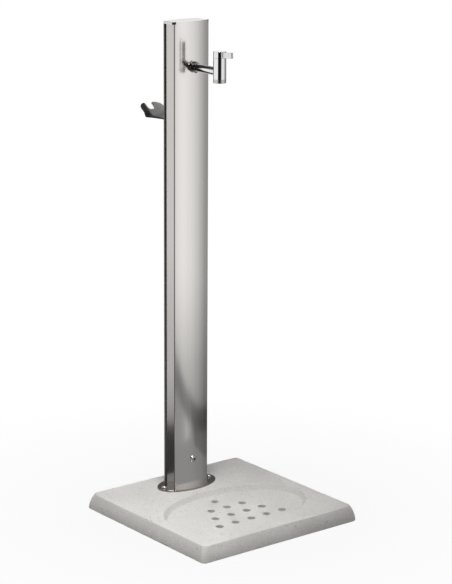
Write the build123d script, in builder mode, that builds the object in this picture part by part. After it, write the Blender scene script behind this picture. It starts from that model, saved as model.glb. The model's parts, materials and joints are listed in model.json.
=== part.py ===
from build123d import *
import os
from math import cos, isclose, radians, sin, sqrt

# Garden standpipe: a concrete slab with an oval basin, a steel column and a tap.
# X runs to the right, Y to the back and Z up.
# The origin is the middle of the slab's underside.

# Gaps and allowances
fit_gap = 0.2
seat_gap = 0.1
running_gap = 0.05
seam_gap = 0.4

# Base slab
slab_width = 400.0
slab_height = 32.0
slab_side_inset = 9.5
slab_side_bulge = 1.9
slab_corner_round = 12.0
slab_top_round = 2.5
slab_foot_chamfer = 1.5

# Oval basin in the slab
basin_side_margin = 34.0
basin_front_margin = 46.0
basin_foot_margin = 21.0
basin_depth = 11.0
basin_wall_run = 7.0
basin_rim_round = 2.0
basin_floor_round = 4.0

# Drain holes, in rows that get shorter towards the column
drain_diameter = 16.0
drain_pitch_x_share = 0.122
drain_pitch_y_share = 0.189
drain_first_row_share = 0.2405
drain_row_counts = (5, 4, 3, 1)
drain_mouth_round = 1.0

# Foot plate and its screws
foot_length = 141.0
foot_width = 80.0
foot_thickness = 4.0
foot_forward_offset = 3.0
foot_edge_round = 0.8
foot_screw_margin = 12.0
foot_screw_diameter = 8.0
foot_screw_grip = 20.0
foot_screw_head_diameter = 11.0
foot_screw_head_height = 4.0
foot_screw_key = 5.0
sleeve_diameter = 12.0
sleeve_length = 25.0

# Column section
column_back_margin = 78.0
column_height = 974.5
shell_width = 85.5
shell_edge_spacing = 37.0
shell_wall = 3.5
shell_edge_round = 1.2
front_bulge = 6.5
rear_bulge = 6.0
side_recess = 3.0
core_wall = 2.5

# Top cap, and the plugs in the front shell's top corners
cap_thickness = 5.0
cap_recess = 1.0
cap_edge_round = 0.6
cap_corner_gap = 5.0
cap_plug_depth = 14.0
cap_plug_wall = 3.0
corner_plug_width = 3.2
corner_plug_height = 4.4
corner_plug_recess = 0.4

# Foot spigot and the screw that locks the column on it
spigot_height = 90.0
spigot_wall = 3.0
lock_screw_height = 58.0
lock_screw_diameter = 8.0
lock_screw_head_diameter = 14.0
lock_screw_head_height = 4.0
lock_screw_key = 6.0
lock_nut_flats = 13.0
lock_nut_height = 6.5

# Water supply at the back
supply_rise = 114.0
supply_forward_offset = 2.0
elbow_diameter = 22.0
stub_diameter = 20.9
stub_bore = 14.0
shoulder_diameter = 27.0
shoulder_thickness = 3.5
inlet_gasket_thickness = 1.5
back_nut_flats = 27.0
back_nut_height = 6.0
nipple_flats = 30.0
nipple_hex_length = 9.0
nipple_thread_diameter = 26.4
nipple_thread_length = 15.0
nipple_bore = 16.0
stub_end_margin = 1.5

# Riser pipe and the plates that guide it
riser_diameter = 15.0
riser_wall = 1.0
cup_depth = 14.0
guide_thickness = 6.0
guide_height_shares = (0.353, 0.661)

# Tap arm and what clamps it
arm_drop = 91.5
arm_reach = 84.5
arm_diameter = 16.5
arm_bore = 10.0
arm_grip = 7.0
tap_elbow_diameter = 22.0
tap_socket_diameter = 21.0
wall_nut_flats = 24.0
wall_nut_height = 5.0
rosette_diameter = 22.0
rosette_thickness = 3.0
rosette_round = 1.2
union_nut_flats = 20.5
union_nut_height = 7.0

# Tap barrel
tap_diameter = 26.0
tap_drop = 21.5
tap_height = 62.7
outlet_ring_height = 7.7
outlet_bore = 17.0
outlet_lip = 3.0
tail_diameter = 20.8
tail_length = 2.0
waterway = 14.0
chamber_diameter = 20.0
chamber_floor = 5.0
edge_round = 0.6

# Strainer in the outlet ring
strainer_thickness = 1.2
strainer_hole_diameter = 1.8
strainer_ring_counts = (6, 12)
strainer_ring_pitch = 3.2

# Quarter-turn valve
valve_seal_thickness = 1.5
valve_seal_lip = 0.4
disc_thickness = 2.5
disc_port_diameter = 4.4
disc_port_offset = 4.5
sleeve_wall = 1.6
valve_sleeve_length = 24.5
valve_neck_length = 8.0
window_width = 9.0
window_height = 8.0
spindle_diameter = 8.0
drive_plate_thickness = 2.5
ring_thickness = 1.9
gland_height = 6.0
gland_slot_width = 2.0
gland_slot_depth = 1.5

# Knob and lever blade
knob_height = 12.5
knob_round = 0.5
knob_socket_depth = 9.0
blade_width = 5.4
blade_height = 11.4
blade_reach = 39.4
blade_tilt = 4.5
blade_top_drop = 0.9
blade_edge_round = 0.5
tongue_height = 7.0
tongue_rise = 2.6
tongue_root = 5.5
grub_diameter = 4.0
grub_length = 7.0
grub_key = 2.0

# Hose hook
hook_thickness = 3.0
hook_drop = 208.2
hook_reach = 76.0
hook_tab_height = 46.0
hook_tab_width = 26.0
hook_neck_length = 18.0
hook_inner_bend = 2.0
fork_width = 55.5
fork_length = 38.5
fork_tilt = 35.0
fork_tip_round = 3.0
fork_slot_width = 16.0
fork_slot_depth = 19.8
hook_screw_pitch = 22.0
hook_screw_drop = 12.0
hook_screw_diameter = 6.0
hook_screw_head_diameter = 10.5
hook_screw_head_height = 3.3
hook_screw_key = 4.0
hook_nut_flats = 10.0
hook_nut_height = 5.0

# Shares of a fastener's own size
dome_share = 0.85
key_depth_share = 0.6
nut_chamfer_share = 0.04

# Heights and places that follow
foot_top = slab_height + foot_thickness
column_top = foot_top + column_height
column_y = slab_width / 2 - column_back_margin
foot_y = column_y - foot_forward_offset
foot_screw_pitch = foot_length - 2 * foot_screw_margin
supply_y = column_y - supply_forward_offset
supply_height = foot_top + supply_rise
guide_heights = [foot_top + share * column_height for share in guide_height_shares]
arm_height = column_top - arm_drop
hook_height = column_top - hook_drop
basin_length = slab_width - 2 * basin_side_margin
basin_front_y = basin_front_margin - slab_width / 2
basin_back_y = foot_y - foot_width / 2 - basin_foot_margin
basin_width = basin_back_y - basin_front_y
basin_y = (basin_front_y + basin_back_y) / 2
shell_half = shell_width / 2
core_half = shell_half - side_recess
front_edge_y = column_y - shell_edge_spacing / 2
rear_edge_y = column_y + shell_edge_spacing / 2
core_inset = shell_wall + fit_gap
inner_inset = core_inset + core_wall
inner_half = core_half - core_wall
cap_top = column_top - cap_recess
cap_bottom = cap_top - cap_thickness
core_top = cap_bottom - seat_gap
basin_floor = slab_height - basin_depth
foot_screw_points = [(side * foot_screw_pitch / 2, foot_y) for side in (-1, 1)]
lock_z = foot_top + lock_screw_height
tap_y = front_edge_y - front_bulge - arm_reach
tap_bottom = arm_height - tap_drop
tap_top = tap_bottom + tap_height
tap_radius = tap_diameter / 2
knob_bottom = tap_top - knob_height
barrel_top = knob_bottom - seam_gap
barrel_bottom = tap_bottom + outlet_ring_height + seat_gap
chamber_bottom = barrel_bottom + chamber_floor
chamber_radius = chamber_diameter / 2


def arc_rise(bulge, x):
    """How far an arc over the shell's width stands out at x."""
    radius = (shell_half**2 + bulge**2) / (2 * bulge)
    return sqrt(radius**2 - x**2) - (radius - bulge)


def front_y(inset, x=0):
    """The front shell's outer face moved back by inset."""
    return front_edge_y + inset - arc_rise(front_bulge, x)


def rear_y(inset, x=0):
    """The rear shell's outer face moved forward by inset."""
    return rear_edge_y - inset + arc_rise(rear_bulge, x)


def facing_front(y, z):
    return Plane(origin=(0, y, z), x_dir=(1, 0, 0), z_dir=(0, -1, 0))


def facing_back(y, z):
    return Plane(origin=(0, y, z), x_dir=(-1, 0, 0), z_dir=(0, 1, 0))


def column_outline(half_width, inset):
    """The lens between the two shells, with flat sides."""
    with BuildSketch() as outline:
        with BuildLine():
            front = [(x, front_y(inset, x)) for x in (-half_width, 0, half_width)]
            rear = [(x, rear_y(inset, x)) for x in (half_width, 0, -half_width)]
            ThreePointArc(*front)
            Line(front[-1], rear[0])
            ThreePointArc(*rear)
            Line(rear[-1], front[0])
        make_face()
    return outline.sketch


def shell_outline(place_y):
    """One shell's section: the same arc twice, one wall apart."""
    with BuildSketch() as outline:
        with BuildLine():
            outer = [(x, place_y(0, x)) for x in (-shell_half, 0, shell_half)]
            inner = [(x, place_y(shell_wall, x)) for x in (shell_half, 0, -shell_half)]
            ThreePointArc(*outer)
            Line(outer[-1], inner[0])
            ThreePointArc(*inner)
            Line(inner[-1], outer[0])
        make_face()
        fillet(outline.vertices(), shell_edge_round)
    return outline.sketch


def shell_front_region():
    """Everything behind the front shell's outer face, to cut what seats on it."""
    with BuildSketch() as region:
        with BuildLine():
            outer = [(x, front_y(-running_gap, x)) for x in (-shell_half, 0, shell_half)]
            ThreePointArc(*outer)
            Line(outer[-1], outer[0])
        make_face()
    return region.sketch


def domed_screw(head_diameter, head_height, diameter, length, key):
    """A screw with a domed head and a hexagonal socket, head up, seat at z = 0."""
    with BuildPart() as screw:
        Cylinder(head_diameter / 2, head_height, align=(Align.CENTER, Align.CENTER, Align.MIN))
        fillet(screw.faces().sort_by(Axis.Z)[-1].edges(), head_height * dome_share)
        Cylinder(diameter / 2, length, align=(Align.CENTER, Align.CENTER, Align.MAX))
        with BuildSketch(Plane.XY.offset(head_height)):
            RegularPolygon(key / 2, 6, major_radius=False)
        extrude(amount=-head_height * key_depth_share, mode=Mode.SUBTRACT)
    return screw.part


def hex_nut(flats, height, bore):
    """A plain nut that stands on z = 0 with a corner along its own Y."""
    with BuildPart() as nut:
        with BuildSketch():
            RegularPolygon(flats / 2, 6, major_radius=False, rotation=30)
        extrude(amount=height)
        chamfer(nut.edges().filter_by(Plane.XY), flats * nut_chamfer_share)
        Hole(bore / 2)
    return nut.part


# Base slab with basin, drain holes and sockets for the anchor sleeves
drain_pitch_x = basin_length * drain_pitch_x_share
drain_pitch_y = basin_width * drain_pitch_y_share
drain_first_y = basin_y - basin_width * drain_first_row_share
drain_points = [
    ((column - (count - 1) / 2) * drain_pitch_x, drain_first_y + row * drain_pitch_y)
    for row, count in enumerate(drain_row_counts)
    for column in range(count)
]

with BuildSketch(Plane.XZ) as profile:
    with BuildLine():
        slab_top_half = slab_width / 2 - slab_side_inset
        Line((-slab_width / 2, 0), (slab_width / 2, 0))
        SagittaArc((slab_width / 2, 0), (slab_top_half, slab_height), -slab_side_bulge)
        Line((slab_top_half, slab_height), (-slab_top_half, slab_height))
        SagittaArc((-slab_top_half, slab_height), (-slab_width / 2, 0), -slab_side_bulge)
    make_face()
slab_profile = profile.sketch

with BuildPart() as base_slab:
    extrude(slab_profile, amount=slab_width, both=True)
    extrude(Rot(0, 0, 90) * slab_profile, amount=slab_width, both=True, mode=Mode.INTERSECT)
    corner_edges = base_slab.edges().filter_by(
        lambda edge: isclose(abs(edge.center().X), abs(edge.center().Y), rel_tol=fit_gap / slab_width)
    )
    fillet(corner_edges, slab_corner_round)
    fillet(base_slab.faces().sort_by(Axis.Z)[-1].edges(), slab_top_round)
    chamfer(base_slab.faces().sort_by(Axis.Z)[0].edges(), slab_foot_chamfer)
    with BuildSketch(Plane.XY.offset(basin_floor)):
        with Locations((0, basin_y)):
            Ellipse(basin_length / 2 - basin_wall_run, basin_width / 2 - basin_wall_run)
    with BuildSketch(Plane.XY.offset(slab_height)):
        with Locations((0, basin_y)):
            Ellipse(basin_length / 2, basin_width / 2)
    loft(mode=Mode.SUBTRACT)
    fillet(base_slab.faces().filter_by(Plane.XY).sort_by(Axis.Z)[1].edges(), basin_floor_round)
    fillet(base_slab.faces().sort_by(Axis.Z)[-1].inner_wires()[0].edges(), basin_rim_round)
    with Locations(*[(x, y, basin_floor) for x, y in drain_points]):
        Hole(drain_diameter / 2)
    floor_face = base_slab.faces().filter_by(Plane.XY).sort_by(Axis.Z)[1]
    fillet(floor_face.edges().filter_by(GeomType.CIRCLE), drain_mouth_round)
    with Locations(*[(x, y, slab_height) for x, y in foot_screw_points]):
        Hole(sleeve_diameter / 2, depth=sleeve_length)
base_slab.part.label = "base_slab"

# Anchor sleeves cast in the slab
with BuildPart() as anchor_sleeves:
    with BuildSketch(Plane.XY.offset(slab_height)):
        with Locations(*foot_screw_points):
            Circle(sleeve_diameter / 2)
            Circle(foot_screw_diameter / 2 + seat_gap, mode=Mode.SUBTRACT)
    extrude(amount=-sleeve_length)
anchor_sleeves.part.label = "anchor_sleeves"

# Foot plate
with BuildPart() as foot_plate:
    with BuildSketch(Plane.XY.offset(slab_height)):
        with Locations((0, foot_y)):
            Ellipse(foot_length / 2, foot_width / 2)
        with Locations(*foot_screw_points):
            Circle(foot_screw_diameter / 2 + fit_gap, mode=Mode.SUBTRACT)
    extrude(amount=foot_thickness)
    rim = foot_plate.faces().sort_by(Axis.Z)[-1].outer_wire().edges()
    fillet(rim, foot_edge_round)
foot_plate.part.label = "foot_plate"

foot_screw_form = domed_screw(
    foot_screw_head_diameter,
    foot_screw_head_height,
    foot_screw_diameter,
    foot_thickness + foot_screw_grip,
    foot_screw_key,
)
with BuildPart() as foot_screws:
    with Locations(*[(x, y, foot_top) for x, y in foot_screw_points]):
        add(foot_screw_form)
foot_screws.part.label = "foot_screws"

# Foot spigot, welded on the foot plate inside the column
spigot_inset = inner_inset + fit_gap
spigot_half = inner_half - fit_gap
with BuildPart() as foot_spigot:
    with BuildSketch(Plane.XY.offset(foot_top)):
        add(column_outline(spigot_half, spigot_inset))
        add(column_outline(spigot_half - spigot_wall, spigot_inset + spigot_wall), mode=Mode.SUBTRACT)
    extrude(amount=spigot_height)
    with BuildSketch(facing_front(column_y, lock_z)):
        Circle(lock_screw_diameter / 2 + seat_gap)
    extrude(amount=shell_width, mode=Mode.SUBTRACT)
foot_spigot.part.label = "foot_spigot"

# Column core, the tube between the shells
stub_hole = stub_diameter / 2 + fit_gap
arm_hole = arm_diameter / 2 + fit_gap
hook_screw_heights = [hook_height - hook_screw_drop - step * hook_screw_pitch for step in range(2)]


def cut_front_holes():
    """Heights and radii of what passes through the front of the column."""
    return [(lock_z, lock_screw_diameter / 2 + seat_gap), (arm_height, arm_hole)]


def cut_rear_holes():
    """Heights and radii of what passes through the back of the column."""
    hook_holes = [(z, hook_screw_diameter / 2 + seat_gap) for z in hook_screw_heights]
    return [(supply_height, stub_hole)] + hook_holes


with BuildPart() as column_core:
    with BuildSketch(Plane.XY.offset(foot_top)):
        add(column_outline(core_half, core_inset))
        add(column_outline(inner_half, inner_inset), mode=Mode.SUBTRACT)
    extrude(amount=core_top - foot_top)
    for z, radius in cut_front_holes():
        with BuildSketch(facing_front(column_y, z)):
            Circle(radius)
        extrude(amount=shell_width, mode=Mode.SUBTRACT)
    for z, radius in cut_rear_holes():
        with BuildSketch(facing_back(column_y, z)):
            Circle(radius)
        extrude(amount=shell_width, mode=Mode.SUBTRACT)
column_core.part.label = "column_core"

# Front shell, open at both top corners
corner_plug_bottom = column_top - corner_plug_recess - corner_plug_height
with BuildPart() as front_shell:
    with BuildSketch(Plane.XY.offset(foot_top)):
        add(shell_outline(front_y))
    extrude(amount=column_height)
    for z, radius in cut_front_holes():
        with BuildSketch(facing_front(column_y, z)):
            Circle(radius)
        extrude(amount=shell_width, mode=Mode.SUBTRACT)
    with BuildSketch(Plane.XY.offset(corner_plug_bottom - running_gap)):
        with Locations((-shell_half, front_edge_y), (shell_half, front_edge_y)):
            Rectangle(2 * (corner_plug_width + running_gap), shell_edge_spacing)
    extrude(amount=shell_width, mode=Mode.SUBTRACT)
front_shell.part.label = "front_shell"

# Plugs in the front shell's top corners
with BuildPart() as corner_plugs:
    with BuildSketch(Plane.XY.offset(corner_plug_bottom)):
        add(shell_outline(front_y))
        with Locations((-shell_half, front_edge_y), (shell_half, front_edge_y)):
            Rectangle(2 * corner_plug_width, shell_edge_spacing, mode=Mode.INTERSECT)
    extrude(amount=corner_plug_height)
corner_plugs.part.label = "corner_plugs"

# Rear shell, which ends under the cap

with BuildPart() as rear_shell:
    with BuildSketch(Plane.XY.offset(foot_top)):
        add(shell_outline(rear_y))
    extrude(amount=core_top - foot_top)
    for z, radius in cut_rear_holes():
        with BuildSketch(facing_back(column_y, z)):
            Circle(radius)
        extrude(amount=shell_width, mode=Mode.SUBTRACT)
rear_shell.part.label = "rear_shell"

# Top cap behind the front shell, with a hollow plug
plug_half = inner_half - fit_gap
plug_inset = inner_inset + fit_gap
cap_corner_y = front_edge_y + shell_wall + cap_corner_gap
with BuildPart() as top_cap:
    with BuildSketch(Plane.XY.offset(cap_bottom)):
        with BuildLine():
            cap_front = [(x, front_y(core_inset, x)) for x in (-core_half, 0, core_half)]
            cap_rear = [(x, rear_y(0, x)) for x in (shell_half, 0, -shell_half)]
            ThreePointArc(*cap_front)
            Polyline(cap_front[-1], (core_half, cap_corner_y), (shell_half, cap_corner_y), cap_rear[0])
            ThreePointArc(*cap_rear)
            Polyline(cap_rear[-1], (-shell_half, cap_corner_y), (-core_half, cap_corner_y), cap_front[0])
        make_face()
    extrude(amount=cap_thickness)
    fillet(top_cap.faces().sort_by(Axis.Z)[-1].edges(), cap_edge_round)
    with BuildSketch(Plane.XY.offset(cap_bottom)):
        add(column_outline(plug_half, plug_inset))
        add(column_outline(plug_half - cap_plug_wall, plug_inset + cap_plug_wall), mode=Mode.SUBTRACT)
    extrude(amount=-cap_plug_depth)
top_cap.part.label = "top_cap"

# Lock screw and nut
lock_nut_y = front_y(spigot_inset + spigot_wall, lock_nut_flats / 2) + seat_gap
lock_screw_form = domed_screw(
    lock_screw_head_diameter,
    lock_screw_head_height,
    lock_screw_diameter,
    lock_nut_y + lock_nut_height - front_y(0),
    lock_screw_key,
)
with BuildPart() as lock_screw:
    with Locations(facing_front(front_y(0), lock_z)):
        add(lock_screw_form)
lock_screw.part.label = "lock_screw"

lock_nut_form = hex_nut(lock_nut_flats, lock_nut_height, lock_screw_diameter + 2 * running_gap)
with BuildPart() as lock_nut:
    with Locations(facing_back(lock_nut_y, lock_z)):
        add(lock_nut_form)
lock_nut.part.label = "lock_nut"

# Supply elbow: a cup for the riser above, a shoulder and a stub to the back
riser_radius = riser_diameter / 2
elbow_radius = elbow_diameter / 2
gasket_back_y = rear_y(inner_inset, shoulder_diameter / 2) - seat_gap
shoulder_y = gasket_back_y - inlet_gasket_thickness
back_nut_y = rear_y(0) + seat_gap
nipple_y = back_nut_y + back_nut_height
stub_end_y = nipple_y + nipple_hex_length - stub_end_margin
cup_top = supply_height + elbow_radius + cup_depth
riser_bottom = supply_height + elbow_radius

with BuildPart() as supply_elbow:
    with BuildSketch(Plane.XY.offset(supply_height - elbow_radius)):
        with Locations((0, supply_y)):
            Circle(elbow_radius)
    extrude(amount=cup_top - supply_height + elbow_radius)
    with BuildSketch(facing_back(supply_y, supply_height)):
        Circle(elbow_radius)
    extrude(amount=shoulder_y - supply_y)
    with BuildSketch(facing_back(shoulder_y, supply_height)):
        Circle(shoulder_diameter / 2)
    extrude(amount=-shoulder_thickness)
    with BuildSketch(facing_back(shoulder_y, supply_height)):
        Circle(stub_diameter / 2)
    extrude(amount=stub_end_y - shoulder_y)
    with BuildSketch(facing_back(supply_y, supply_height)):
        Circle(stub_bore / 2)
    extrude(amount=stub_end_y - supply_y, mode=Mode.SUBTRACT)
    with BuildSketch(Plane.XY.offset(supply_height)):
        with Locations((0, supply_y)):
            Circle(riser_radius - riser_wall)
    extrude(amount=elbow_radius, mode=Mode.SUBTRACT)
    with BuildSketch(Plane.XY.offset(riser_bottom)):
        with Locations((0, supply_y)):
            Circle(riser_radius + running_gap)
    extrude(amount=cup_depth, mode=Mode.SUBTRACT)
supply_elbow.part.label = "supply_elbow"

with BuildPart() as inlet_gasket:
    with BuildSketch(facing_back(shoulder_y, supply_height)):
        Circle(shoulder_diameter / 2)
        Circle(stub_diameter / 2 + seat_gap, mode=Mode.SUBTRACT)
    extrude(amount=inlet_gasket_thickness)
inlet_gasket.part.label = "inlet_gasket"

back_nut_form = hex_nut(back_nut_flats, back_nut_height, stub_diameter + 2 * running_gap)
with BuildPart() as back_nut:
    with Locations(facing_back(back_nut_y, supply_height)):
        add(back_nut_form)
back_nut.part.label = "back_nut"

# Inlet nipple: a hexagon and the thread that a hose coupling screws on
nipple_hex_form = hex_nut(nipple_flats, nipple_hex_length, stub_diameter + 2 * running_gap)
nipple_thread_y = nipple_y + nipple_hex_length
with BuildPart() as inlet_nipple:
    with Locations(facing_back(nipple_y, supply_height)):
        add(nipple_hex_form)
    with BuildSketch(facing_back(nipple_thread_y, supply_height)):
        Circle(nipple_thread_diameter / 2)
        Circle(nipple_bore / 2, mode=Mode.SUBTRACT)
    extrude(amount=nipple_thread_length)
    end_edges = inlet_nipple.faces().sort_by(Axis.Y)[-1].outer_wire().edges()
    chamfer(end_edges, edge_round)
inlet_nipple.part.label = "inlet_nipple"

# Tap elbow: a cup for the riser below and a socket for the arm in front
tap_elbow_radius = tap_elbow_diameter / 2
wall_nut_y = front_y(inner_inset, wall_nut_flats / 2) + seat_gap
tap_elbow_y = wall_nut_y + wall_nut_height
arm_end_y = tap_elbow_y + arm_grip
riser_top = arm_height - tap_elbow_radius

with BuildPart() as tap_elbow:
    with BuildSketch(Plane.XY.offset(arm_height + tap_elbow_radius)):
        with Locations((0, supply_y)):
            Circle(tap_elbow_radius)
    extrude(amount=-(2 * tap_elbow_radius + cup_depth))
    with BuildSketch(facing_back(tap_elbow_y, arm_height)):
        Circle(tap_socket_diameter / 2)
    extrude(amount=supply_y - tap_elbow_y)
    with BuildSketch(facing_back(tap_elbow_y, arm_height)):
        Circle(arm_diameter / 2 + running_gap)
    extrude(amount=arm_grip, mode=Mode.SUBTRACT)
    with BuildSketch(facing_back(arm_end_y, arm_height)):
        Circle(arm_bore / 2)
    extrude(amount=supply_y - arm_end_y, mode=Mode.SUBTRACT)
    with BuildSketch(Plane.XY.offset(arm_height)):
        with Locations((0, supply_y)):
            Circle(riser_radius - riser_wall)
    extrude(amount=-tap_elbow_radius, mode=Mode.SUBTRACT)
    with BuildSketch(Plane.XY.offset(riser_top)):
        with Locations((0, supply_y)):
            Circle(riser_radius + running_gap)
    extrude(amount=-cup_depth, mode=Mode.SUBTRACT)
tap_elbow.part.label = "tap_elbow"

# Riser pipe between the two cups
with BuildPart() as riser_pipe:
    with BuildSketch(Plane.XY.offset(riser_bottom)):
        with Locations((0, supply_y)):
            Circle(riser_radius)
            Circle(riser_radius - riser_wall, mode=Mode.SUBTRACT)
    extrude(amount=riser_top - riser_bottom)
riser_pipe.part.label = "riser_pipe"

# Pipe guides, which fill the core around the riser
with BuildPart() as pipe_guides:
    for height in guide_heights:
        with BuildSketch(Plane.XY.offset(height)):
            add(column_outline(inner_half - fit_gap, inner_inset + fit_gap))
            with Locations((0, supply_y)):
                Circle(riser_radius + seat_gap, mode=Mode.SUBTRACT)
        extrude(amount=guide_thickness)
pipe_guides.part.label = "pipe_guides"

# Wall nut, rosette and union nut on the arm
wall_nut_form = hex_nut(wall_nut_flats, wall_nut_height, arm_diameter + 2 * running_gap)
with BuildPart() as wall_nut:
    with Locations(facing_back(wall_nut_y, arm_height)):
        add(wall_nut_form)
wall_nut.part.label = "wall_nut"

rosette_y = front_y(0) - rosette_thickness
with BuildPart() as rosette:
    with BuildSketch(facing_back(rosette_y, arm_height)):
        Circle(rosette_diameter / 2)
        Circle(arm_diameter / 2 + seat_gap, mode=Mode.SUBTRACT)
    extrude(amount=rosette_thickness + shell_wall)
    rosette_rim = rosette.faces().sort_by(Axis.Y)[0].outer_wire().edges()
    fillet(rosette_rim, rosette_round)
    with BuildSketch(Plane.XY.offset(arm_height - rosette_diameter)):
        add(shell_front_region())
    extrude(amount=2 * rosette_diameter, mode=Mode.SUBTRACT)
rosette.part.label = "rosette"

union_nut_form = hex_nut(union_nut_flats, union_nut_height, arm_diameter + 2 * running_gap)
with BuildPart() as union_nut:
    with Locations(facing_front(rosette_y, arm_height)):
        add(union_nut_form)
union_nut.part.label = "union_nut"

# Tap arm: its front end is hollowed to sit in the barrel's wall
arm_seat_radius = (tap_radius + chamber_radius) / 2
with BuildPart() as tap_arm:
    with BuildSketch(facing_back(tap_y, arm_height)):
        Circle(arm_diameter / 2)
        Circle(arm_bore / 2, mode=Mode.SUBTRACT)
    extrude(amount=arm_end_y - tap_y)
    with BuildSketch(Plane.XY.offset(arm_height - arm_diameter)):
        with Locations((0, tap_y)):
            Circle(arm_seat_radius)
    extrude(amount=2 * arm_diameter, mode=Mode.SUBTRACT)
tap_arm.part.label = "tap_arm"

# Tap body: the barrel, with a seat for the arm and a threaded tail
with BuildPart() as tap_body:
    with BuildSketch(Plane.XY.offset(barrel_bottom)):
        with Locations((0, tap_y)):
            Circle(tap_radius)
    extrude(amount=barrel_top - barrel_bottom)
    with BuildSketch(Plane.XY.offset(barrel_bottom)):
        with Locations((0, tap_y)):
            Circle(tail_diameter / 2)
    extrude(amount=-tail_length)
    with BuildSketch(facing_back(tap_y, arm_height)):
        Circle(arm_diameter / 2 + running_gap)
    extrude(amount=tap_diameter, mode=Mode.SUBTRACT)
    with BuildSketch(Plane.XY.offset(barrel_bottom)):
        with Locations((0, tap_y)):
            Circle(arm_seat_radius - running_gap)
    extrude(amount=barrel_top - barrel_bottom)
    with BuildSketch(facing_back(tap_y, arm_height)):
        Circle(arm_bore / 2)
    extrude(amount=tap_radius, mode=Mode.SUBTRACT)
    with BuildSketch(Plane.XY.offset(chamber_bottom)):
        with Locations((0, tap_y)):
            Circle(chamber_radius)
    extrude(amount=barrel_top - chamber_bottom, mode=Mode.SUBTRACT)
    with BuildSketch(Plane.XY.offset(chamber_bottom)):
        with Locations((0, tap_y)):
            Circle(waterway / 2)
    extrude(amount=-(chamber_floor + tail_length), mode=Mode.SUBTRACT)
tap_body.part.label = "tap_body"

# Outlet ring, strainer and gasket
tail_bottom = barrel_bottom - tail_length
lip_top = tap_bottom + outlet_lip
with BuildPart() as outlet_ring:
    with BuildSketch(Plane.XY.offset(tap_bottom)):
        with Locations((0, tap_y)):
            Circle(tap_radius)
    extrude(amount=outlet_ring_height)
    fillet(outlet_ring.faces().sort_by(Axis.Z)[0].edges(), edge_round)
    with Locations((0, tap_y, tap_bottom + outlet_ring_height)):
        Hole(outlet_bore / 2)
    with Locations((0, tap_y, tap_bottom + outlet_ring_height)):
        Hole(tail_diameter / 2 + seat_gap, depth=outlet_ring_height - outlet_lip)
outlet_ring.part.label = "outlet_ring"

with BuildPart() as strainer:
    with BuildSketch(Plane.XY.offset(lip_top)):
        with Locations((0, tap_y)):
            Circle(tail_diameter / 2)
            Circle(strainer_hole_diameter / 2, mode=Mode.SUBTRACT)
            for ring, count in enumerate(strainer_ring_counts, start=1):
                with PolarLocations(ring * strainer_ring_pitch, count):
                    Circle(strainer_hole_diameter / 2, mode=Mode.SUBTRACT)
    extrude(amount=strainer_thickness)
strainer.part.label = "strainer"

with BuildPart() as outlet_gasket:
    with BuildSketch(Plane.XY.offset(lip_top + strainer_thickness)):
        with Locations((0, tap_y)):
            Circle(tail_diameter / 2)
            Circle(waterway / 2, mode=Mode.SUBTRACT)
    extrude(amount=tail_bottom - lip_top - strainer_thickness)
outlet_gasket.part.label = "outlet_gasket"

# Valve, from its seal upwards
valve_radius = chamber_radius - fit_gap
seal_top = chamber_bottom + valve_seal_thickness
fixed_disc_top = seal_top + disc_thickness
turning_disc_bottom = fixed_disc_top + running_gap
turning_disc_top = turning_disc_bottom + disc_thickness
drive_plate_top = turning_disc_top + drive_plate_thickness
rotor_radius = valve_radius - sleeve_wall - running_gap
valve_sleeve_top = fixed_disc_top + valve_sleeve_length
neck_bottom = valve_sleeve_top - valve_neck_length
spindle_radius = spindle_diameter / 2

with BuildPart() as valve_seal:
    with BuildSketch(Plane.XY.offset(chamber_bottom)):
        with Locations((0, tap_y)):
            Circle(valve_radius)
            Circle(waterway / 2 + valve_seal_lip, mode=Mode.SUBTRACT)
    extrude(amount=valve_seal_thickness)
valve_seal.part.label = "valve_seal"

with BuildPart() as fixed_disc:
    with BuildSketch(Plane.XY.offset(seal_top)):
        with Locations((0, tap_y)):
            Circle(valve_radius)
            with PolarLocations(disc_port_offset, 2):
                Circle(disc_port_diameter / 2, mode=Mode.SUBTRACT)
    extrude(amount=disc_thickness)
fixed_disc.part.label = "fixed_disc"

with BuildPart() as turning_disc:
    with BuildSketch(Plane.XY.offset(turning_disc_bottom)):
        with Locations((0, tap_y)):
            Circle(rotor_radius)
            with PolarLocations(disc_port_offset, 2, start_angle=90):
                Circle(disc_port_diameter / 2, mode=Mode.SUBTRACT)
    extrude(amount=disc_thickness)
turning_disc.part.label = "turning_disc"

ring_mid_z = neck_bottom + valve_neck_length / 2
with BuildPart() as valve_sleeve:
    with BuildSketch(Plane.XY.offset(fixed_disc_top)):
        with Locations((0, tap_y)):
            Circle(valve_radius)
    extrude(amount=valve_sleeve_length)
    with BuildSketch(Plane.XY.offset(fixed_disc_top)):
        with Locations((0, tap_y)):
            Circle(valve_radius - sleeve_wall)
    extrude(amount=neck_bottom - fixed_disc_top, mode=Mode.SUBTRACT)
    with BuildSketch(Plane.XY.offset(neck_bottom)):
        with Locations((0, tap_y)):
            Circle(spindle_radius + running_gap)
    extrude(amount=valve_neck_length, mode=Mode.SUBTRACT)
    with BuildSketch(Plane.XY.offset(ring_mid_z - ring_thickness / 2 - running_gap)):
        with Locations((0, tap_y)):
            Circle(spindle_radius + ring_thickness + 2 * running_gap)
    extrude(amount=ring_thickness + 2 * running_gap, mode=Mode.SUBTRACT)
    with BuildSketch(facing_front(tap_y, drive_plate_top)):
        Rectangle(window_width, window_height, align=(Align.CENTER, Align.MIN))
    extrude(amount=tap_radius, both=True, mode=Mode.SUBTRACT)
valve_sleeve.part.label = "valve_sleeve"

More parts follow.
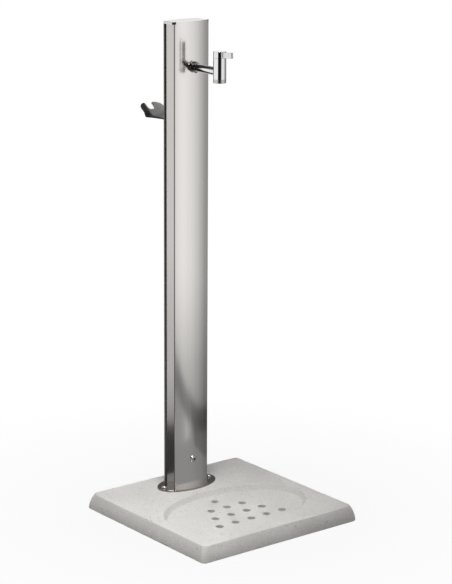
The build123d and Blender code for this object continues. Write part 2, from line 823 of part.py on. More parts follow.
with BuildPart() as spindle:
    with BuildSketch(Plane.XY.offset(turning_disc_top)):
        with Locations((0, tap_y)):
            Circle(rotor_radius)
    extrude(amount=drive_plate_thickness)
    with BuildSketch(Plane.XY.offset(drive_plate_top)):
        with Locations((0, tap_y)):
            Circle(spindle_radius)
    extrude(amount=knob_bottom + knob_socket_depth - drive_plate_top)
spindle.part.label = "spindle"

with BuildPart() as spindle_ring:
    with Locations((0, tap_y, ring_mid_z)):
        Torus(spindle_radius + running_gap + ring_thickness / 2, ring_thickness / 2)
spindle_ring.part.label = "spindle_ring"

with BuildPart() as gland_nut:
    with BuildSketch(Plane.XY.offset(valve_sleeve_top)):
        with Locations((0, tap_y)):
            Circle(valve_radius)
            Circle(spindle_radius + fit_gap, mode=Mode.SUBTRACT)
    extrude(amount=gland_height)
    with BuildSketch(Plane.XY.offset(valve_sleeve_top + gland_height)):
        with Locations((0, tap_y)):
            Rectangle(chamber_diameter, gland_slot_width)
    extrude(amount=-gland_slot_depth, mode=Mode.SUBTRACT)
gland_nut.part.label = "gland_nut"

# Knob with a pocket for the blade's tongue, a socket for the spindle and a grub screw
grub_z = knob_bottom + knob_socket_depth / 2
tongue_root_y = tap_y - tongue_root
tongue_z = knob_bottom + tongue_rise + tongue_height / 2
with BuildPart() as knob:
    with BuildSketch(Plane.XY.offset(knob_bottom)):
        with Locations((0, tap_y)):
            Circle(tap_radius)
    extrude(amount=knob_height)
    fillet(knob.faces().sort_by(Axis.Z)[-1].edges(), knob_round)
    with BuildSketch(Plane.XY.offset(knob_bottom)):
        with Locations((0, tap_y)):
            Circle(spindle_radius + running_gap)
    extrude(amount=knob_socket_depth + seat_gap, mode=Mode.SUBTRACT)
    with BuildSketch(facing_front(tongue_root_y, tongue_z)):
        Rectangle(blade_width + 2 * running_gap, tongue_height + 2 * running_gap)
    extrude(amount=tap_diameter, mode=Mode.SUBTRACT)
    with BuildSketch(facing_back(tap_y, grub_z)):
        Circle(grub_diameter / 2 + running_gap)
    extrude(amount=tap_diameter, mode=Mode.SUBTRACT)
knob.part.label = "knob"

# Lever blade: it rises a little to its tip and is hollowed to lie against the knob
blade_z = tap_top - blade_top_drop - blade_height / 2
with BuildPart() as lever_blade:
    with BuildSketch(Plane.YZ):
        with Locations((tap_y - tap_radius, blade_z)):
            with Locations(Rotation(0, 0, -blade_tilt)):
                with Locations((blade_height / 2, 0)):
                    blade_length = blade_reach - tap_radius + blade_height / 2
                    Rectangle(blade_length, blade_height, align=(Align.MAX, Align.CENTER))
    extrude(amount=blade_width / 2, both=True)
    fillet(lever_blade.edges(), blade_edge_round)
    with BuildSketch(Plane.XY.offset(knob_bottom - knob_height)):
        with Locations((0, tap_y)):
            Circle(tap_radius + running_gap)
    extrude(amount=3 * knob_height, mode=Mode.SUBTRACT)
    with BuildSketch(facing_front(tongue_root_y, tongue_z)):
        Rectangle(blade_width, tongue_height)
    extrude(amount=tap_radius)
lever_blade.part.label = "lever_blade"

with BuildPart() as grub_screw:
    with BuildSketch(facing_back(tap_y + spindle_radius + running_gap, grub_z)):
        Circle(grub_diameter / 2)
    extrude(amount=grub_length)
    with BuildSketch(facing_back(tap_y + spindle_radius + running_gap + grub_length, grub_z)):
        RegularPolygon(grub_key / 2, 6, major_radius=False)
    extrude(amount=-grub_key, mode=Mode.SUBTRACT)
grub_screw.part.label = "grub_screw"

# Hose hook: one bent strip, trimmed to its outline from above and square to the fork
tab_y = rear_y(0) + seat_gap + hook_thickness
fold_y = tab_y - hook_thickness + hook_reach
tilt = radians(fork_tilt)
fork_tip = (fold_y + fork_length * cos(tilt), hook_height + fork_length * sin(tilt))
fork_plane = Plane(origin=(0, fold_y, hook_height), x_dir=(1, 0, 0), z_dir=(0, -sin(tilt), cos(tilt)))

with BuildPart() as hook_bracket:
    with BuildSketch(Plane.YZ):
        with BuildLine():
            underside = FilletPolyline(
                (tab_y, hook_height - hook_tab_height),
                (tab_y, hook_height),
                (fold_y, hook_height),
                fork_tip,
                radius=[hook_inner_bend, hook_inner_bend + hook_thickness],
            )
            offset(underside, amount=hook_thickness, side=Side.LEFT)
        make_face()
    extrude(amount=fork_width / 2, both=True)
    with BuildSketch(Plane.XY.offset(hook_height - hook_tab_height)):
        with BuildLine():
            neck_y = tab_y + hook_neck_length
            flare = TangentArc((hook_tab_width / 2, neck_y), (fork_width / 2, fold_y), tangent=(0, 1))
            far_y = fold_y + 2 * fork_length
            near_y = tab_y - 2 * hook_thickness
            Polyline(
                flare @ 1,
                (fork_width / 2, far_y),
                (0, far_y),
                (0, near_y),
                (hook_tab_width / 2, near_y),
                flare @ 0,
            )
        make_face()
        mirror(about=Plane.YZ)
    extrude(amount=hook_tab_height + 2 * fork_length, mode=Mode.INTERSECT)
    strip_length = hook_reach + hook_tab_height
    with BuildSketch(fork_plane) as fork_outline:
        with Locations((0, fork_length)):
            Rectangle(fork_width, fork_length + strip_length, align=(Align.CENTER, Align.MAX))
        fillet(fork_outline.vertices().group_by(Axis.Y)[-1], (fork_width - fork_slot_width) / 2)
        with Locations((0, fork_length)):
            straight = fork_slot_depth - fork_slot_width / 2
            Rectangle(fork_slot_width, straight, align=(Align.CENTER, Align.MAX), mode=Mode.SUBTRACT)
        with Locations((0, fork_length - straight)):
            Circle(fork_slot_width / 2, mode=Mode.SUBTRACT)
        fillet(fork_outline.vertices().group_by(Axis.Y)[-1], fork_tip_round)
    extrude(amount=strip_length, both=True, mode=Mode.INTERSECT)
    with Locations(*[facing_back(tab_y, z) for z in hook_screw_heights]):
        Hole(hook_screw_diameter / 2 + seat_gap)
hook_bracket.part.label = "hook_bracket"

# Hook screws from behind, with their nuts inside the core
hook_nut_back_y = rear_y(inner_inset, hook_nut_flats / 2) - seat_gap
hook_screw_form = domed_screw(
    hook_screw_head_diameter,
    hook_screw_head_height,
    hook_screw_diameter,
    tab_y - hook_nut_back_y + hook_nut_height,
    hook_screw_key,
)
with BuildPart() as hook_screws:
    with Locations(*[facing_back(tab_y, z) for z in hook_screw_heights]):
        add(hook_screw_form)
hook_screws.part.label = "hook_screws"

hook_nut_form = hex_nut(hook_nut_flats, hook_nut_height, hook_screw_diameter + 2 * running_gap)
with BuildPart() as hook_nuts:
    with Locations(*[facing_front(hook_nut_back_y, z) for z in hook_screw_heights]):
        add(hook_nut_form)
hook_nuts.part.label = "hook_nuts"

pieces = [
    base_slab, anchor_sleeves, foot_plate, foot_screws, foot_spigot, column_core, front_shell,
    corner_plugs, rear_shell, top_cap, lock_screw, lock_nut, supply_elbow, inlet_gasket, back_nut, inlet_nipple,
    tap_elbow, riser_pipe, pipe_guides, wall_nut, rosette, union_nut, tap_arm, tap_body,
    outlet_ring, strainer, outlet_gasket, valve_seal, fixed_disc, turning_disc, valve_sleeve,
    spindle, spindle_ring, gland_nut, knob, lever_blade, grub_screw, hook_bracket,
    hook_screws, hook_nuts,
]
os.makedirs("parts", exist_ok=True)
for piece in pieces:
    export_step(piece.part, f"parts/{piece.part.label}.step")
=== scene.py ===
"""Garden standpipe: finishes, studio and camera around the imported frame. Metres, Z up."""

import json
import math

import bpy
from mathutils import Matrix, Vector


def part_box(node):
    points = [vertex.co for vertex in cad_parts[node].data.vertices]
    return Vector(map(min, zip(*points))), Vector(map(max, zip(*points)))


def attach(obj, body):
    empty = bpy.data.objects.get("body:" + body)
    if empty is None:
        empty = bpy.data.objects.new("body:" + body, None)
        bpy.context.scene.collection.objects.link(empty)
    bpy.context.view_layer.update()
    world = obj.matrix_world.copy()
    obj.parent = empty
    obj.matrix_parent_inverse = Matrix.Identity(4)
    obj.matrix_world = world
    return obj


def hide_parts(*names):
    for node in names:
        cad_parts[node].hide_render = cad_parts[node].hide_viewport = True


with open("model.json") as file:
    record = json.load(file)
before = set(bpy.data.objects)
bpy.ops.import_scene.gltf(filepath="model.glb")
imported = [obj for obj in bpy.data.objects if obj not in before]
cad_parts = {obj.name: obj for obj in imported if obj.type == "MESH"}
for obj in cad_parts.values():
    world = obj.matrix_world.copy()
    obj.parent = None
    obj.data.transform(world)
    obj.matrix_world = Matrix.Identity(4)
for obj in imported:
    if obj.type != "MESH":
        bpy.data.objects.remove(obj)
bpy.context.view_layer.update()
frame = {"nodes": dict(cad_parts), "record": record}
nodes = frame["nodes"]

# Places read from the frame
slab_low, slab_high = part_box("base_slab")
hook_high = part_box("hook_bracket")[1]
column_y = (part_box("front_shell")[0].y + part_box("rear_shell")[1].y) / 2

# Directions
left_side = (-1.0, 0.0, 0.0)
right_side = (1.0, 0.0, 0.0)
front_side = (0.0, -1.0, 0.0)

# The range that most values of a noise lie in
noise_low = 0.3
noise_high = 0.7


# Short calls for node trees


def new_finish(name):
    """A material with its tree and its main shader."""
    material = bpy.data.materials.new(name)
    material.use_nodes = True
    tree = material.node_tree
    return material, tree, tree.nodes["Principled BSDF"]


def add_node(tree, kind, **values):
    """A node whose sockets and settings are given by name."""
    node = tree.nodes.new(kind)
    for key, value in values.items():
        if key in node.inputs:
            node.inputs[key].default_value = value
        else:
            setattr(node, key, value)
    return node


def stretched(tree, scale=(1.0, 1.0, 1.0)):
    """Object coordinates, scaled along each axis so that a noise can become a grain."""
    coords = tree.nodes.new("ShaderNodeTexCoord")
    mapping = add_node(tree, "ShaderNodeMapping", Scale=scale)
    tree.links.new(coords.outputs["Object"], mapping.inputs["Vector"])
    return mapping.outputs["Vector"]


def noise(tree, vector, scale, detail, rough=0.55):
    """A noise value over the surface."""
    node = add_node(tree, "ShaderNodeTexNoise", Scale=scale, Detail=detail, Roughness=rough)
    tree.links.new(vector, node.inputs["Vector"])
    return node.outputs["Fac"]


def spread(tree, value, low, high, start=noise_low, end=noise_high):
    """The value between start and end, mapped to low and high."""
    node = tree.nodes.new("ShaderNodeMapRange")
    node.inputs["From Min"].default_value = start
    node.inputs["From Max"].default_value = end
    node.inputs["To Min"].default_value = low
    node.inputs["To Max"].default_value = high
    tree.links.new(value, node.inputs["Value"])
    return node.outputs["Result"]


def blend_colours(tree, factor, first, second):
    """Two colours, or colour sockets, mixed by a factor over the surface."""
    node = add_node(tree, "ShaderNodeMix", data_type="RGBA")
    tree.links.new(factor, node.inputs[0])
    sockets = [socket for socket in node.inputs if socket.type == "RGBA"]
    for socket, colour in zip(sockets, (first, second)):
        if isinstance(colour, bpy.types.NodeSocket):
            tree.links.new(colour, socket)
        else:
            socket.default_value = colour
    return [socket for socket in node.outputs if socket.type == "RGBA"][0]


def calculated(tree, operation, first, second):
    """The sum or product of two values over the surface."""
    node = add_node(tree, "ShaderNodeMath", operation=operation)
    tree.links.new(first, node.inputs[0])
    tree.links.new(second, node.inputs[1])
    return node.outputs["Value"]


def clamped_sum(tree, first, second):
    """The sum of two values over the surface, kept between 0 and 1."""
    total = calculated(tree, "ADD", first, second)
    total.node.use_clamp = True
    return total


def source_of(shader, name):
    """The socket that feeds one of the shader's inputs."""
    return shader.inputs[name].links[0].from_socket


def relief(tree, shader, height, strength, depth):
    """A fine relief on the surface."""
    node = add_node(tree, "ShaderNodeBump", Strength=strength, Distance=depth)
    tree.links.new(height, node.inputs["Height"])
    tree.links.new(node.outputs["Normal"], shader.inputs["Normal"])


def grey(value, warmth=0.0):
    """A grey with a little warmth."""
    return (value * (1 + warmth), value, value * (1 - warmth), 1.0)


# Metals. Tones and roughness run from 0 to 1. A noise is its scale, detail and, where given,
# roughness. A grain stretches the noise along X, Y and Z.
fine_noise = (1.0, 6.0)
broad_noise = (1.0, 3.0)
fine_rough_shares = (0.85, 1.1)
broad_rough_share = 0.12
steel_warmth = 0.033
shell_tone = 0.76
shell_roughness = 0.135
shell_variation = 0.03
# The rim tones below are painted shade on faces that look along given axes
shell_rim_shade_tone = 0.16
rear_rim_shade_tone = 0.2
blade_rim_shade_tone = 0.5
hook_rim_shade_tone = 0.04
rim_warmth = 0.08
rim_roughness = 0.35
rim_facing_range = (0.45, 0.75)
# Painted shade on the hook's left prong, by position along X
prong_shade_tone = 0.06
prong_shade_range_x = (-0.0145, -0.0085)
metal_relief = 0.00001
broad_grain = (7.0, 7.0, 7.0)
long_grain = (2400.0, 2400.0, 14.0)
cross_grain = (30.0, 1500.0, 1500.0)
fine_grain = (1500.0, 1500.0, 1500.0)
speckle_grain = (900.0, 900.0, 900.0)

# Concrete
cloud_noise = (9.0, 5.0)
mottle_noise = (150.0, 3.0, 0.6)
sand_noise = (420.0, 4.0, 0.7)
dust_noise = (1100.0, 2.0, 0.8)
pore_patch_noise = (30.0, 2.0)
pore_scale = 95.0
pore_radius_range = (0.06, 0.15)
pore_patch_range = (0.47, 0.56)
dark_sand_range = (0.5, 0.7)
dark_sand_share = 0.5
mottle_share = 0.35
cloud_colours = ((0.64, 0.622, 0.60, 1), (0.72, 0.702, 0.68, 1))
mottle_colour = (0.52, 0.505, 0.485, 1)
sand_colour = (0.38, 0.37, 0.35, 1)
pore_shade_colour = (0.13, 0.12, 0.105, 1)
concrete_roughness = (0.78, 0.95)
concrete_specular = 0.3
concrete_relief = 0.0006
concrete_relief_strength = 0.5
dust_depth_share = 0.5
pore_depth_share = 0.6

# Moulded surfaces
moulded_noise = (600.0, 3.0)
moulded_variation = 0.15
moulded_relief = 0.0001
moulded_relief_strength = 0.2


def metal(name, tone, roughness, variation, grain, warmth=0.0, strength=0.05):
    """Metal whose grain runs along the axis with the smallest scale."""
    material, tree, shader = new_finish(name)
    fine = noise(tree, stretched(tree, grain), *fine_noise)
    broad = noise(tree, stretched(tree, broad_grain), *broad_noise)
    dark = grey(tone * (1 - variation), warmth)
    light = grey(tone * (1 + variation), warmth)
    tree.links.new(blend_colours(tree, fine, dark, light), shader.inputs["Base Color"])
    fine_rough = spread(tree, fine, *[roughness * share for share in fine_rough_shares])
    broad_rough = spread(tree, broad, 0.0, roughness * broad_rough_share)
    rough = calculated(tree, "ADD", fine_rough, broad_rough)
    tree.links.new(rough, shader.inputs["Roughness"])
    shader.inputs["Metallic"].default_value = 1.0
    relief(tree, shader, fine, strength, metal_relief)
    return material


def concrete_finish():
    """Pale cast concrete: cloudy tone, sand grain and open pores darkened with painted shade."""
    material, tree, shader = new_finish("concrete")
    vector = stretched(tree)
    cloud = noise(tree, vector, *cloud_noise)
    sand = noise(tree, vector, *sand_noise)
    dust = noise(tree, vector, *dust_noise)
    mottle = noise(tree, vector, *mottle_noise)
    pore_patch = noise(tree, vector, *pore_patch_noise)
    pores = add_node(tree, "ShaderNodeTexVoronoi", Scale=pore_scale, Randomness=1.0)
    tree.links.new(vector, pores.inputs["Vector"])
    pore_mask = spread(tree, pores.outputs["Distance"], 1.0, 0.0, *pore_radius_range)
    patch_mask = spread(tree, pore_patch, 0.0, 1.0, *pore_patch_range)
    open_pores = calculated(tree, "MULTIPLY", pore_mask, patch_mask)
    cloudy = blend_colours(tree, spread(tree, cloud, 0.0, 1.0), *cloud_colours)
    mottled = blend_colours(tree, spread(tree, mottle, 0.0, mottle_share), cloudy, mottle_colour)
    dark_sand = spread(tree, sand, 0.0, dark_sand_share, *dark_sand_range)
    speckled = blend_colours(tree, dark_sand, mottled, sand_colour)
    # painted shade inside the open pores
    dotted = blend_colours(tree, open_pores, speckled, pore_shade_colour)
    tree.links.new(dotted, shader.inputs["Base Color"])
    tree.links.new(spread(tree, sand, *concrete_roughness), shader.inputs["Roughness"])
    shader.inputs["Specular IOR Level"].default_value = concrete_specular
    dust_height = spread(tree, dust, 0.0, dust_depth_share)
    pore_height = spread(tree, pore_mask, pore_depth_share, 0.0, 0.0, 1.0)
    height = calculated(tree, "ADD", dust_height, pore_height)
    relief(tree, shader, height, concrete_relief_strength, concrete_relief)
    return material


def soft_finish(name, tone, roughness):
    """Rubber, plastic or ceramic: a moulded surface with a faint mottle."""
    material, tree, shader = new_finish(name)
    mottle = noise(tree, stretched(tree), *moulded_noise)
    lower = 1 - moulded_variation
    upper = 1 + moulded_variation
    colour = blend_colours(tree, mottle, grey(tone * lower), grey(tone * upper))
    tree.links.new(colour, shader.inputs["Base Color"])
    rough = spread(tree, mottle, roughness * lower, roughness * upper)
    tree.links.new(rough, shader.inputs["Roughness"])
    relief(tree, shader, mottle, moulded_relief_strength, moulded_relief)
    return material


def facing(tree, axis):
    """1 where the surface faces along the axis, 0 where it turns well away."""
    geometry = tree.nodes.new("ShaderNodeNewGeometry")
    dot = add_node(tree, "ShaderNodeVectorMath", operation="DOT_PRODUCT")
    dot.inputs[1].default_value = axis
    tree.links.new(geometry.outputs["Normal"], dot.inputs[0])
    return spread(tree, dot.outputs["Value"], 0.0, 1.0, *rim_facing_range)


def with_dull_shaded_rims(material, rim_axes, rim_shade_tone):
    """The metal with duller faces where it looks along the given axes, and darker ones there
    with painted shade.
    """
    tree = material.node_tree
    shader = tree.nodes["Principled BSDF"]
    rim = facing(tree, rim_axes[0])
    for axis in rim_axes[1:]:
        rim = clamped_sum(tree, rim, facing(tree, axis))
    # painted shade: the rims' darker colour
    rim_shade_colour = grey(rim_shade_tone, rim_warmth)
    colour = blend_colours(tree, rim, source_of(shader, "Base Color"), rim_shade_colour)
    tree.links.new(colour, shader.inputs["Base Color"])
    added = spread(tree, rim, 0.0, rim_roughness, 0.0, 1.0)
    rough = calculated(tree, "ADD", source_of(shader, "Roughness"), added)
    tree.links.new(rough, shader.inputs["Roughness"])
    return material


def with_painted_shade_on_prong(material):
    """The hook's metal with painted shade that darkens it towards its left prong."""
    tree = material.node_tree
    shader = tree.nodes["Principled BSDF"]
    coords = tree.nodes.new("ShaderNodeTexCoord")
    parts = tree.nodes.new("ShaderNodeSeparateXYZ")
    tree.links.new(coords.outputs["Object"], parts.inputs["Vector"])
    # painted shade: darker towards -X over the left prong
    share = spread(tree, parts.outputs["X"], 1.0, 0.0, *prong_shade_range_x)
    colour = blend_colours(tree, share, source_of(shader, "Base Color"), grey(prong_shade_tone))
    tree.links.new(colour, shader.inputs["Base Color"])
    return material


def brushed_steel(name, rim_axes, rim_shade_tone):
    """Stainless steel brushed along the column, with dull sawn rims whose darker colour is
    partly painted shade.
    """
    brushed = metal(
        name, shell_tone, shell_roughness, shell_variation, long_grain, steel_warmth
    )
    return with_dull_shaded_rims(brushed, rim_axes, rim_shade_tone)


def hook_finish():
    """Speckled steel, with painted shade where it faces left and on its left prong."""
    speckled = metal("hook_steel", 0.52, 0.36, 0.3, speckle_grain, 0.03, strength=0.3)
    return with_painted_shade_on_prong(with_dull_shaded_rims(speckled, (left_side,), hook_rim_shade_tone))


def blade_finish():
    """The lever blade's chrome, duller where it faces forward and darker there with painted
    shade.
    """
    chrome = metal("blade_chrome", 0.72, 0.12, 0.03, fine_grain)
    return with_dull_shaded_rims(chrome, (front_side,), blade_rim_shade_tone)


# The numbers are tone, roughness and variation of tone, and after the grain the warmth
finishes = {
    "concrete": concrete_finish(),
    "brushed_shell": brushed_steel("brushed_shell", (left_side, right_side), shell_rim_shade_tone),
    "core_metal": metal("core_metal", 0.54, 0.16, 0.03, long_grain, steel_warmth),
    "foot_steel": metal("foot_steel", 0.42, 0.2, 0.05, cross_grain, 0.06),
    "screw_steel": metal("screw_steel", 0.6, 0.13, 0.04, fine_grain),
    "chrome": metal("chrome", 0.8, 0.035, 0.01, fine_grain, strength=0.01),
    "satin_chrome": metal("satin_chrome", 0.55, 0.26, 0.04, fine_grain, 0.03),
    "hook_steel": hook_finish(),
    "brass": metal("brass", 0.55, 0.25, 0.05, fine_grain, 0.25),
    "pipe_steel": metal("pipe_steel", 0.5, 0.3, 0.06, long_grain),
    "rubber": soft_finish("rubber", 0.03, 0.7),
    "ceramic": soft_finish("ceramic", 0.75, 0.2),
    "plastic": soft_finish("plastic", 0.025, 0.45),
}
own_finishes = {
    "rear_shell": brushed_steel(
        "brushed_rear_shell", (left_side, right_side, front_side), rear_rim_shade_tone
    ),
    "top_cap": metal("cap_steel", 0.64, 0.15, 0.03, cross_grain, 0.01),
    "lever_blade": blade_finish(),
    "rosette": metal("dark_rosette", 0.12, 0.2, 0.03, fine_grain, 0.03),
    "union_nut": metal("dark_nut", 0.2, 0.2, 0.03, fine_grain, 0.02),
}
for row in frame["record"]["subparts"]:
    finish = own_finishes.get(row["node"], finishes[row["material_slot"]])
    for material_slot in nodes[row["node"]].material_slots:
        material_slot.material = finish


# The hook's dished fork
hook_thickness = 0.003
fork_tilt = math.radians(35)
fork_length = 0.0385
fork_dish = 0.0045
dish_start = 0.012
hook_voxel = 0.0008
edge_smoothing = 0.5
edge_smoothing_rounds = 2


def linked(name, data):
    """A new object in the scene that carries the given data."""
    thing = bpy.data.objects.new(name, data)
    bpy.context.scene.collection.objects.link(thing)
    return thing


def mesh_object(name, vertices, faces):
    """A linked object made of the given vertices and faces."""
    mesh = bpy.data.meshes.new(name)
    mesh.from_pydata(vertices, [], faces)
    return linked(name, mesh)


def smooth_step(share):
    """A share from 0 to 1, eased at both ends."""
    return share * share * (3 - 2 * share)


def apply_modifiers(thing):
    """Makes the object's modified mesh its own and removes the modifiers."""
    graph = bpy.context.evaluated_depsgraph_get()
    mesh = bpy.data.meshes.new_from_object(thing.evaluated_get(graph))
    thing.modifiers.clear()
    thing.data = mesh


def make_dished_hook():
    """The hook's bent plate with softened edges and a fork dished across its width."""
    piece = linked("hook_plate", nodes["hook_bracket"].data.copy())
    remesh = piece.modifiers.new("even_grid", "REMESH")
    remesh.mode = "VOXEL"
    remesh.voxel_size = hook_voxel
    remesh.use_smooth_shade = True
    soften = piece.modifiers.new("soft_edges", "SMOOTH")
    soften.factor = edge_smoothing
    soften.iterations = edge_smoothing_rounds
    apply_modifiers(piece)
    rise = math.sin(fork_tilt)
    run = math.cos(fork_tilt)
    fold_y = hook_high.y - fork_length * run
    fold_z = hook_high.z - fork_length * rise - hook_thickness * run
    normal = Vector((0, -rise, run))
    for vertex in piece.data.vertices:
        along = (vertex.co.y - fold_y) * run + (vertex.co.z - fold_z) * rise
        if along > 0:
            lift = fork_dish * (vertex.co.x / hook_high.x) ** 2
            vertex.co += normal * lift * smooth_step(min(along / dish_start, 1.0))
    piece.data.materials.clear()
    piece.data.materials.append(finishes["hook_steel"])
    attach(piece, "stand")
    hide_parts("hook_bracket")


# Light and floor
white = (1.0, 1.0, 1.0, 1.0)
sky_level = 0.28
key_place = Vector((-0.58, -0.5, 2.08))
key_aim = Vector((-0.36, -0.1, 0.0))
key_size = 0.9
key_spread = math.radians(48)
key_power = 4.05
floor_reach = 60.0
floor_albedo = 0.2
floor_roughness = 0.9
floor_shadow_share = 0.07
shadow_reach = 0.8


def camera_and_reflection(tree):
    """1 for rays from the camera and from mirrors and clear pieces, else 0."""
    path = tree.nodes.new("ShaderNodeLightPath")
    first = calculated(tree, "ADD", path.outputs["Is Camera Ray"], path.outputs["Is Glossy Ray"])
    return clamped_sum(tree, first, path.outputs["Is Transmission Ray"])


def make_world():
    """White all round for the camera and for reflections, soft light for the rest."""
    world = bpy.data.worlds.new("studio")
    world.use_nodes = True
    tree = world.node_tree
    background = tree.nodes["Background"]
    background.inputs["Color"].default_value = white
    seen = camera_and_reflection(tree)
    strength = spread(tree, seen, sky_level, 1.0, 0.0, 1.0)
    tree.links.new(strength, background.inputs["Strength"])
    bpy.context.scene.world = world


def make_floor():
    """A pale floor that shows white and keeps a soft shadow round the object."""
    corners = [(-1, -1), (1, -1), (1, 1), (-1, 1)]
    places = [(x * floor_reach, y * floor_reach, 0) for x, y in corners]
    floor = mesh_object("floor", places, [(0, 1, 2, 3)])
    material, tree, shader = new_finish("floor_white")
    shader.inputs["Base Color"].default_value = grey(floor_albedo)
    shader.inputs["Roughness"].default_value = floor_roughness
    shader.inputs["Specular IOR Level"].default_value = 0.0
    glow = add_node(tree, "ShaderNodeEmission", Color=white, Strength=1.0)
    coords = tree.nodes.new("ShaderNodeTexCoord")
    length = add_node(tree, "ShaderNodeVectorMath", operation="LENGTH")
    tree.links.new(coords.outputs["Object"], length.inputs[0])
    distance = length.outputs["Value"]
    far = spread(tree, distance, 1 - floor_shadow_share, 1.0, slab_high.x, shadow_reach)
    seen = calculated(tree, "MULTIPLY", camera_and_reflection(tree), far)
    mix = tree.nodes.new("ShaderNodeMixShader")
    tree.links.new(seen, mix.inputs["Fac"])
    tree.links.new(shader.outputs["BSDF"], mix.inputs[1])
    tree.links.new(glow.outputs["Emission"], mix.inputs[2])
    tree.links.new(mix.outputs["Shader"], tree.nodes["Material Output"].inputs["Surface"])
    floor.data.materials.append(material)


def make_lamp():
    """One large soft lamp, high up in front and to the left."""
    lamp = bpy.data.lights.new("key", "AREA")
    lamp.shape = "DISK"
    lamp.size = key_size
    lamp.energy = key_power
    lamp.spread = key_spread
    turn = (key_aim - key_place).to_track_quat("-Z", "Y").to_matrix().to_4x4()
    linked("key", lamp).matrix_world = Matrix.Translation(key_place) @ turn


# Cards that polished metal mirrors. Azimuths are degrees round the column, from the front
# towards +X. Tones are stops of (azimuth or radius, tone), and a grid is its count of rows and
# columns. The strip is a dark band on the floor, measured along strip_across.
card_lift = 0.002
front_azimuths = (-12, 100)
floor_start = 0.15
floor_grid = (113, 160)
wall_grid = (57, 8)
wall_radius = 1.9
wall_top = 2.2
wall_tones = [
    (-12, 0.5), (2, 0.72), (7, 0.93), (13, 1.0), (20, 0.99), (27, 0.93),
    (35, 0.86), (44, 0.75), (54, 0.56), (64, 0.37), (74, 0.27),
]
floor_fade = [(0.6, 0.5), (1.0, 0.6), (1.17, 0.7), (1.34, 0.78), (1.65, 0.89), (1.9, 1.0)]
near_tones = [(0, 0.32), (10, 0.36), (16, 0.42), (22, 0.54), (30, 0.33), (43, 0.17), (72, 0.12)]
strip_tones = [(0, 0.16), (26, 0.19), (40, 0.12), (53, 0.08), (72, 0.05)]
strip_across = Vector((0.85, -0.53, 0)).normalized()
strip_near = 0.41
strip_far = 0.60
strip_softness = 0.008
low_wall_azimuths = (100, 190)
low_wall_columns = 30
low_wall_radius = 1.5
low_wall_top = 0.85
low_wall_tone = 0.12
lens_azimuths = (-65, -9)
lens_columns = 12
lens_wall_radius = 2.4
lens_tone = 0.008
lens_floor_start = 0.6
rear_mat_azimuths = (-172, -112)
rear_mat_end = 2.1
rear_mat_grid = (12, 90)
rear_mat_tones = [(0.53, 0.05), (0.56, 0.46), (0.75, 0.62), (1.0, 0.76), (2.1, 0.92)]
ceiling_height = 4.6
ceiling_reach = 14.0
ceiling_grid = (37, 40)
ceiling_tones = [(1.8, 0.42), (3.2, 0.02), (9.0, 0.03), (12.0, 0.22), (14.0, 0.5)]
ceiling_rear_tone = 0.3
ceiling_rear_shares = [(60, 0.0), (90, 1.0), (230, 1.0), (260, 0.0)]
slab_mat_margin = 0.012
slab_mat_tones = [(20, 0.31), (48, 0.27), (75, 0.16)]
slab_mat_lift = 0.0012
slab_mat_grid = (40, 40)


def hide_from_all_but_reflections(thing):
    """Leaves the object to polished surfaces alone."""
    thing.visible_camera = False
    thing.visible_diffuse = False
    thing.visible_transmission = False
    thing.visible_shadow = False
    thing.visible_volume_scatter = False


def tone_material(name):
    """A card's glow, from the tone kept on its vertices."""
    material, tree, shader = new_finish(name)
    tree.nodes.remove(shader)
    tone = add_node(tree, "ShaderNodeAttribute", attribute_name="tone")
    glow = tree.nodes.new("ShaderNodeEmission")
    tree.links.new(tone.outputs["Fac"], glow.inputs["Strength"])
    tree.links.new(glow.outputs["Emission"], tree.nodes["Material Output"].inputs["Surface"])
    return material


def steps(low, high, count):
    """Evenly spaced values, ends included."""
    return [low + (high - low) * i / (count - 1) for i in range(count)]


def eased(value, stops):
    """A smooth value between stops of (place, value)."""
    if value <= stops[0][0]:
        return stops[0][1]
    for (x0, y0), (x1, y1) in zip(stops, stops[1:]):
        if value <= x1:
            return y0 + (y1 - y0) * smooth_step((value - x0) / (x1 - x0))
    return stops[-1][1]


def around(azimuth, radius, height):
    """A point round the column."""
    angle = math.radians(azimuth)
    return Vector((radius * math.sin(angle), column_y - radius * math.cos(angle), height))


def upright(radius):
    """Places of a wall round the column, by azimuth and height."""
    return lambda azimuth, height: around(azimuth, radius, height)


def level(height):
    """Places of a floor or ceiling, by azimuth and radius."""
    return lambda azimuth, radius: around(azimuth, radius, height)


def even(tone):
    """The same tone all over a card."""
    return lambda row, column: tone


def card(name, rows, columns, place, tone):
    """A card on a grid of rows and columns, with a place and a tone for each of its points."""
    points = [(row, column) for row in rows for column in columns]
    width = len(columns)
    faces = [
        (i * width + j, (i + 1) * width + j, (i + 1) * width + j + 1, i * width + j + 1)
        for i in range(len(rows) - 1)
        for j in range(width - 1)
    ]
    sheet = mesh_object(name, [place(*point) for point in points], faces)
    attribute = sheet.data.attributes.new("tone", "FLOAT", "POINT")
    attribute.data.foreach_set("value", [tone(*point) for point in points])
    sheet.data.materials.append(tone_material(name))
    hide_from_all_but_reflections(sheet)


def floor_tone(azimuth, radius):
    """The floor in front: dim near the slab, then a dark strip, then the wall's tones."""
    across = strip_across.dot(around(azimuth, radius, card_lift))
    near = eased(azimuth, near_tones)
    strip = eased(azimuth, strip_tones)
    beyond = eased(azimuth, wall_tones) * eased(radius, floor_fade)
    edge, before, behind = strip_far, strip, beyond
    if across < (strip_near + strip_far) / 2:
        edge, before, behind = strip_near, near, strip
    return eased(across, [(edge - strip_softness, before), (edge + strip_softness, behind)])


def ceiling_tone(azimuth, radius):
    """The ceiling: dark in front, beyond the pale middle, and half-light at the back."""
    share = eased(azimuth, ceiling_rear_shares)
    return (1 - share) * eased(radius, ceiling_tones) + share * ceiling_rear_tone


def slab_mat_tone(x, y):
    """A painted reflection: what the column's foot sees of the slab's top."""
    return eased(math.degrees(math.atan2(x, column_y - y)), slab_mat_tones)


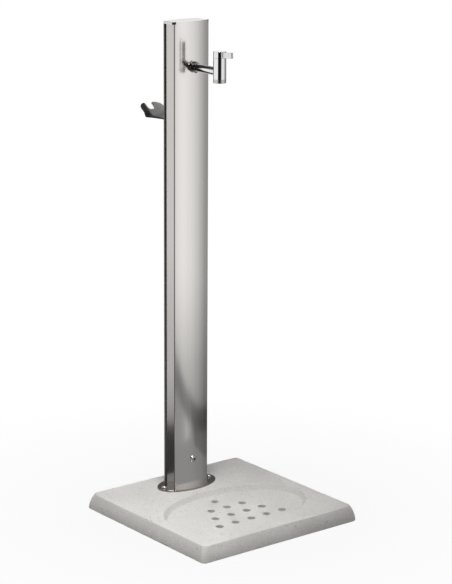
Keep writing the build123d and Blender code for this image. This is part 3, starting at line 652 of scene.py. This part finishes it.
def make_cards():
    """What polished metal sees of the room besides white."""
    wall_heights = (card_lift, wall_top)
    card(
        "right_wall",
        steps(*front_azimuths, wall_grid[0]),
        steps(*wall_heights, wall_grid[1]),
        upright(wall_radius),
        lambda azimuth, height: eased(azimuth, wall_tones),
    )
    card(
        "front_floor",
        steps(*front_azimuths, floor_grid[0]),
        steps(floor_start, wall_radius, floor_grid[1]),
        level(card_lift),
        floor_tone,
    )
    card(
        "low_wall",
        steps(*low_wall_azimuths, low_wall_columns),
        (card_lift, low_wall_top),
        upright(low_wall_radius),
        even(low_wall_tone),
    )
    card(
        "lens_wall",
        steps(*lens_azimuths, lens_columns),
        wall_heights,
        upright(lens_wall_radius),
        even(lens_tone),
    )
    card(
        "lens_floor",
        steps(*lens_azimuths, lens_columns),
        (lens_floor_start, lens_wall_radius),
        level(card_lift),
        even(lens_tone),
    )
    card(
        "rear_mat",
        steps(*rear_mat_azimuths, rear_mat_grid[0]),
        steps(floor_start, rear_mat_end, rear_mat_grid[1]),
        level(card_lift),
        lambda azimuth, radius: eased(radius, rear_mat_tones),
    )
    card(
        "ceiling",
        steps(0, 360, ceiling_grid[0]),
        steps(0.0, ceiling_reach, ceiling_grid[1]),
        level(ceiling_height),
        ceiling_tone,
    )
    # painted reflection of the slab's top for the column's foot
    card(
        "slab_mat",
        steps(slab_low.x + slab_mat_margin, slab_high.x - slab_mat_margin, slab_mat_grid[0]),
        steps(slab_low.y + slab_mat_margin, slab_high.y - slab_mat_margin, slab_mat_grid[1]),
        lambda x, y: Vector((x, y, slab_high.z + slab_mat_lift)),
        slab_mat_tone,
    )


# Camera, from the photograph's perspective
picture_height = 584
focal_pixels = 2112.05
sensor_width = 36.0
camera_place = Vector((-2.54302, -3.23986, 1.54448))
camera_azimuth = math.radians(-38.23)
camera_pitch = math.radians(14.56)
camera_roll = math.radians(0.33)
clip_start = 0.05
clip_end = 200


def make_camera():
    """The photograph's camera."""
    look = Vector((
        -math.sin(camera_azimuth) * math.cos(camera_pitch),
        math.cos(camera_azimuth) * math.cos(camera_pitch),
        -math.sin(camera_pitch),
    ))
    right = Vector((math.cos(camera_azimuth), math.sin(camera_azimuth), 0))
    up = right.cross(look)
    turned_right = right * math.cos(camera_roll) + up * math.sin(camera_roll)
    turned_up = up * math.cos(camera_roll) - right * math.sin(camera_roll)
    data = bpy.data.cameras.new("camera")
    data.sensor_fit = "AUTO"
    data.sensor_width = sensor_width
    data.lens = focal_pixels * data.sensor_width / picture_height
    data.clip_start = clip_start
    data.clip_end = clip_end
    thing = linked("camera", data)
    turn = Matrix((turned_right, turned_up, -look)).transposed().to_4x4()
    thing.matrix_world = Matrix.Translation(camera_place) @ turn
    bpy.context.scene.camera = thing


make_dished_hook()
make_world()
make_floor()
make_cards()
make_lamp()
make_camera()
bpy.context.scene.view_settings.view_transform = "Standard"
